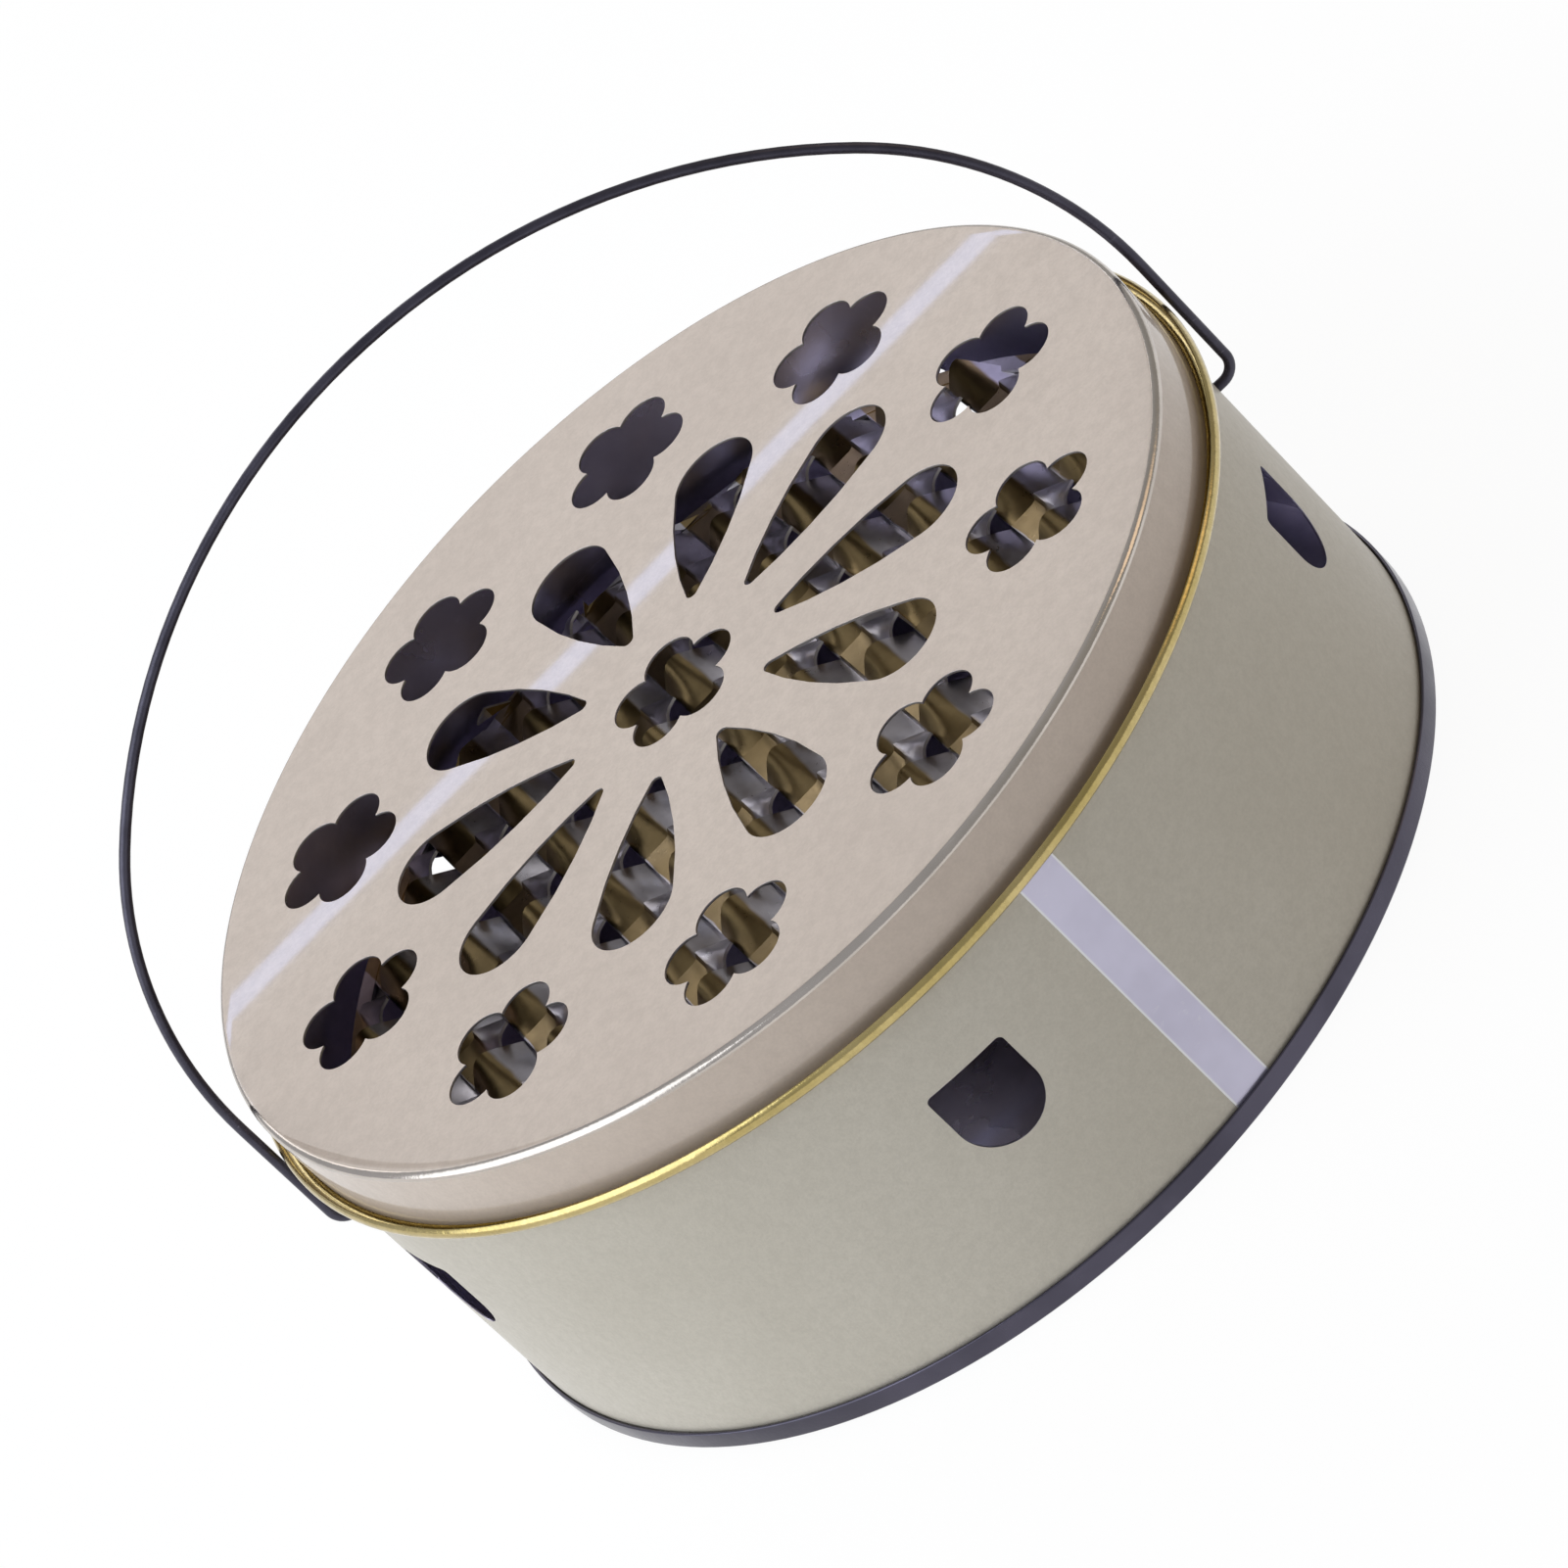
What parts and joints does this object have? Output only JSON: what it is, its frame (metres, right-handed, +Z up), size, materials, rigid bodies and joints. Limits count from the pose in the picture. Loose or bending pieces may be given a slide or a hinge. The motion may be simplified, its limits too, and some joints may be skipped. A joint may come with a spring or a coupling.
{
  "type": "coil incense burner",
  "caption": "Round sheet-metal incense coil burner: pierced lift-off lid, vented tin body, wave grid that carries the coil, and a swinging wire handle.",
  "frame": {"origin": "centre of the base on the plane it stands on", "axes": "+Z up along the tin's axis, X along the handle's pivot axis, -Y towards the front vent"},
  "size_m": [0.1524, 0.1488, 0.1143],
  "materials": {
    "body_wall": "satin champagne lacquer on tinplate",
    "base_end": "bare tinplate, semi-gloss",
    "lid": "satin champagne lacquer on tinplate",
    "coil_grid": "bright tinplate",
    "handle": "dark plated wire"
  },
  "bodies": {
    "tin": {"body_wall": "body_wall", "base_end": "base_end"},
    "lid": {"lid": "lid"},
    "grid": {"coil_grid": "coil_grid"},
    "handle": {"handle": "handle"}
  },
  "joints": [
    {"name": "handle_hinge", "type": "hinge", "parent": "tin", "child": "handle", "pos_m": [0, 0, 0.0338], "axis": [1, 0, 0], "range_deg": [-104, 116]},
    {"name": "lid_lift", "type": "slide", "parent": "tin", "child": "lid", "axis": [0, 0, 1], "range_m": [0, 0.01]},
    {"name": "grid_lift", "type": "slide", "parent": "tin", "child": "grid", "axis": [0, 0, 1], "range_m": [0, 0.008]}
  ]
}
